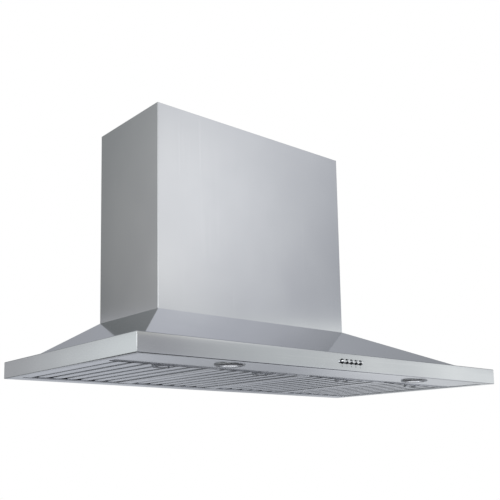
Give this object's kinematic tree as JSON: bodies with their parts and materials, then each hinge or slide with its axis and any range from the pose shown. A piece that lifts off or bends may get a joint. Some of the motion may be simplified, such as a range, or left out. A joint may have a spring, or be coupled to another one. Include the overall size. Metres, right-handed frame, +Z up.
{
  "type": "chimney range hood",
  "caption": "Wall-mounted stainless range hood with a wide straight chimney, sloping canopy, baffle filters that tilt down, push buttons, recessed lamps and a centrifugal blower.",
  "frame": {"origin": "middle of the wall face at the level of the rim's bottom edge", "axes": "+X along the wall to the right as seen from the room, +Y into the wall, +Z up"},
  "size_m": [1.219, 0.6085, 0.7078],
  "materials": {
    "canopy_steel": "satin stainless, fine horizontal grain",
    "chimney_steel": "satin stainless, fine upright grain",
    "galvanised_steel": "dull galvanised sheet",
    "filter_steel": "satin stainless",
    "handle_chrome": "polished",
    "button_chrome": "polished",
    "bezel_chrome": "satin polished",
    "black_plastic": "matte black",
    "lens_glass": "frosted",
    "aluminium_parts": "as rolled",
    "motor_paint": "black enamel",
    "bright_steel": "zinc plated",
    "circuit_board": "green",
    "grey_plastic": "light grey"
  },
  "bodies": {
    "hood": {"canopy_skirt": "canopy_steel", "canopy_slopes": "canopy_steel", "lamp_panel": "canopy_steel", "chimney_cover": "chimney_steel", "canopy_back": "galvanised_steel", "filter_side_rails": "galvanised_steel", "filter_catches": "galvanised_steel", "chimney_bracket": "galvanised_steel", "air_box": "galvanised_steel", "outlet_chamber": "galvanised_steel", "duct_collar": "galvanised_steel", "blower_housing": "galvanised_steel", "inlet_rings": "galvanised_steel", "motor_arms": "galvanised_steel", "control_box": "galvanised_steel", "control_cover": "galvanised_steel", "junction_box": "galvanised_steel", "junction_cover": "galvanised_steel", "lamp_screws": "galvanised_steel", "button_guides": "black_plastic", "switch_housing": "black_plastic", "lamp_bezel_left": "bezel_chrome", "lamp_bezel_right": "bezel_chrome", "lamp_lens_left": "lens_glass", "lamp_lens_right": "lens_glass", "lamp_housing_left": "aluminium_parts", "lamp_housing_right": "aluminium_parts", "capacitor": "aluminium_parts", "blower_motor": "motor_paint", "damper_pin": "bright_steel", "blower_screws": "bright_steel", "control_board": "circuit_board", "led_driver": "grey_plastic", "cable_gland": "grey_plastic"},
    "upper_cover": {"upper_chimney_cover": "chimney_steel"},
    "wheel": {"impeller": "aluminium_parts", "motor_shaft": "bright_steel"},
    "flap_front": {"damper_flap_front": "aluminium_parts"},
    "flap_rear": {"damper_flap_rear": "aluminium_parts"},
    "button_1": {"push_button_1": "button_chrome"},
    "button_2": {"push_button_2": "button_chrome"},
    "button_3": {"push_button_3": "button_chrome"},
    "button_4": {"push_button_4": "button_chrome"},
    "button_5": {"push_button_5": "button_chrome"},
    "filter_1": {"filter_frame_1": "filter_steel", "filter_baffles_1": "filter_steel", "handle_plate_1": "filter_steel"},
    "bail_1": {"filter_handle_1": "handle_chrome"},
    "filter_2": {"filter_frame_2": "filter_steel", "filter_baffles_2": "filter_steel", "handle_plate_2": "filter_steel"},
    "bail_2": {"filter_handle_2": "handle_chrome"},
    "filter_3": {"filter_frame_3": "filter_steel", "filter_baffles_3": "filter_steel", "handle_plate_3": "filter_steel"},
    "bail_3": {"filter_handle_3": "handle_chrome"},
    "filter_4": {"filter_frame_4": "filter_steel", "filter_baffles_4": "filter_steel", "handle_plate_4": "filter_steel"},
    "bail_4": {"filter_handle_4": "handle_chrome"}
  },
  "joints": [
    {"name": "upper_cover_slide", "type": "slide", "parent": "hood", "child": "upper_cover", "axis": [0, 0, 1], "range_m": [0, 0.4]},
    {"name": "wheel_spin", "type": "hinge", "parent": "hood", "child": "wheel", "pos_m": [0, -0.1385, 0.285], "axis": [1, 0, 0], "continuous": true},
    {"name": "damper_front_swing", "type": "hinge", "parent": "hood", "child": "flap_front", "pos_m": [0, -0.1385, 0.488], "axis": [-1, 0, 0], "range_deg": [0, 80]},
    {"name": "damper_rear_swing", "type": "hinge", "parent": "hood", "child": "flap_rear", "pos_m": [0, -0.1385, 0.488], "axis": [1, 0, 0], "range_deg": [0, 80]},
    {"name": "button_1_press", "type": "slide", "parent": "hood", "child": "button_1", "axis": [0, 1, 0], "range_m": [0, 0.003], "stiffness_N_per_m": 400, "springref_m": -0.001},
    {"name": "button_2_press", "type": "slide", "parent": "hood", "child": "button_2", "axis": [0, 1, 0], "range_m": [0, 0.003], "stiffness_N_per_m": 400, "springref_m": -0.001},
    {"name": "button_3_press", "type": "slide", "parent": "hood", "child": "button_3", "axis": [0, 1, 0], "range_m": [0, 0.003], "stiffness_N_per_m": 400, "springref_m": -0.001},
    {"name": "button_4_press", "type": "slide", "parent": "hood", "child": "button_4", "axis": [0, 1, 0], "range_m": [0, 0.003], "stiffness_N_per_m": 400, "springref_m": -0.001},
    {"name": "button_5_press", "type": "slide", "parent": "hood", "child": "button_5", "axis": [0, 1, 0], "range_m": [0, 0.003], "stiffness_N_per_m": 400, "springref_m": -0.001},
    {"name": "filter_1_tilt", "type": "hinge", "parent": "hood", "child": "filter_1", "pos_m": [-0.43875, -0.048, 0.0017], "axis": [1, 0, 0], "range_deg": [0, 80]},
    {"name": "filter_1_handle_fold", "type": "hinge", "parent": "filter_1", "child": "bail_1", "pos_m": [-0.43875, -0.436, -0.0016], "axis": [-1, 0, 0], "range_deg": [0, 90]},
    {"name": "filter_2_tilt", "type": "hinge", "parent": "hood", "child": "filter_2", "pos_m": [-0.14625, -0.048, 0.0017], "axis": [1, 0, 0], "range_deg": [0, 80]},
    {"name": "filter_2_handle_fold", "type": "hinge", "parent": "filter_2", "child": "bail_2", "pos_m": [-0.14625, -0.436, -0.0016], "axis": [-1, 0, 0], "range_deg": [0, 90]},
    {"name": "filter_3_tilt", "type": "hinge", "parent": "hood", "child": "filter_3", "pos_m": [0.14625, -0.048, 0.0017], "axis": [1, 0, 0], "range_deg": [0, 80]},
    {"name": "filter_3_handle_fold", "type": "hinge", "parent": "filter_3", "child": "bail_3", "pos_m": [0.14625, -0.436, -0.0016], "axis": [-1, 0, 0], "range_deg": [0, 90]},
    {"name": "filter_4_tilt", "type": "hinge", "parent": "hood", "child": "filter_4", "pos_m": [0.43875, -0.048, 0.0017], "axis": [1, 0, 0], "range_deg": [0, 80]},
    {"name": "filter_4_handle_fold", "type": "hinge", "parent": "filter_4", "child": "bail_4", "pos_m": [0.43875, -0.436, -0.0016], "axis": [-1, 0, 0], "range_deg": [0, 90]}
  ]
}
